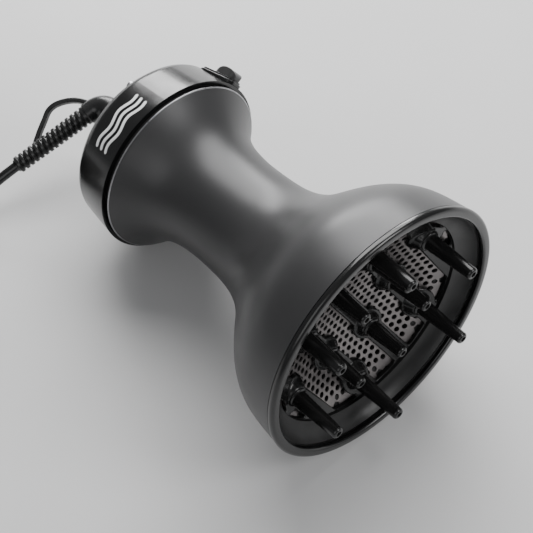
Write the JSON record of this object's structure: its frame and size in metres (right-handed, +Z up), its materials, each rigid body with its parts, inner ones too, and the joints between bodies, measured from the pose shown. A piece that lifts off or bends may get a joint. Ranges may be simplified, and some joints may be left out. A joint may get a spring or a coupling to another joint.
{
  "type": "diffuser hair dryer",
  "caption": "Hand-held hair dryer with a built-in diffuser bowl: hourglass shell, perforated dish with fingers, thumb switch, fan, heater and a mains cord.",
  "frame": {"origin": "on the table, under the middle of the dryer lying on its side, its cord left out", "axes": "+Z up from the table; +X the horizontal direction that the diffuser's mouth faces, with the dryer's axis rising 8 degrees towards it; the switch is towards +Y and the cord leaves towards -Y"},
  "size_m": [0.442, 0.2282, 0.1587],
  "materials": {
    "graphite_paint": "satin metallic",
    "gloss_black": "high gloss",
    "bowl_black": "gloss",
    "finger_black": "gloss",
    "mesh_steel": "satin",
    "dark_plastic": "matte",
    "mica": "matte flecked",
    "heater_wire": "dull",
    "motor_steel": "brushed",
    "screw_steel": "brushed",
    "circuit_board": "matte",
    "impeller_grey": "matte",
    "filter_fabric": "woven",
    "wire_insulation": "matte",
    "boot_rubber": "satin",
    "cord_jacket": "gloss",
    "tie_fabric": "woven",
    "plug_plastic": "satin",
    "pin_metal": "bright"
  },
  "bodies": {
    "dryer": {"body_shell": "graphite_paint", "rim_ring": "gloss_black", "diffuser_bowl": "bowl_black", "finger_grid": "finger_black", "mesh_dish": "mesh_steel", "air_deflector": "dark_plastic", "outer_fingers": "finger_black", "inner_fingers": "finger_black", "heater_grille": "dark_plastic", "heater_tube": "mica", "mica_boards": "mica", "heating_coils": "heater_wire", "thermal_cutout": "motor_steel", "fan_duct": "dark_plastic", "motor": "motor_steel", "rectifier_board": "circuit_board", "chassis": "dark_plastic", "rear_band": "gloss_black", "switch_pad": "gloss_black", "switch_body": "dark_plastic", "filter_screen": "filter_fabric", "rear_cover": "dark_plastic", "cover_screws": "screw_steel", "cord_clamp": "dark_plastic", "clamp_screws": "screw_steel", "lead_wires": "wire_insulation", "cord_boot": "boot_rubber", "cord": "cord_jacket", "cord_coil": "cord_jacket", "coil_tie": "tie_fabric", "plug_body": "plug_plastic", "plug_pins": "pin_metal"},
    "rotor": {"motor_shaft": "screw_steel", "impeller": "impeller_grey"},
    "slider": {"switch_slider": "gloss_black"}
  },
  "joints": [
    {"name": "fan_spin", "type": "hinge", "parent": "dryer", "child": "rotor", "pos_m": [-0.06903, 0, 0.05286], "axis": [0.9902, 0, 0.1399], "continuous": true},
    {"name": "switch_slide", "type": "slide", "parent": "dryer", "child": "slider", "axis": [-0.9597, -0.1617, -0.2298], "range_m": [0, 0.008]}
  ]
}
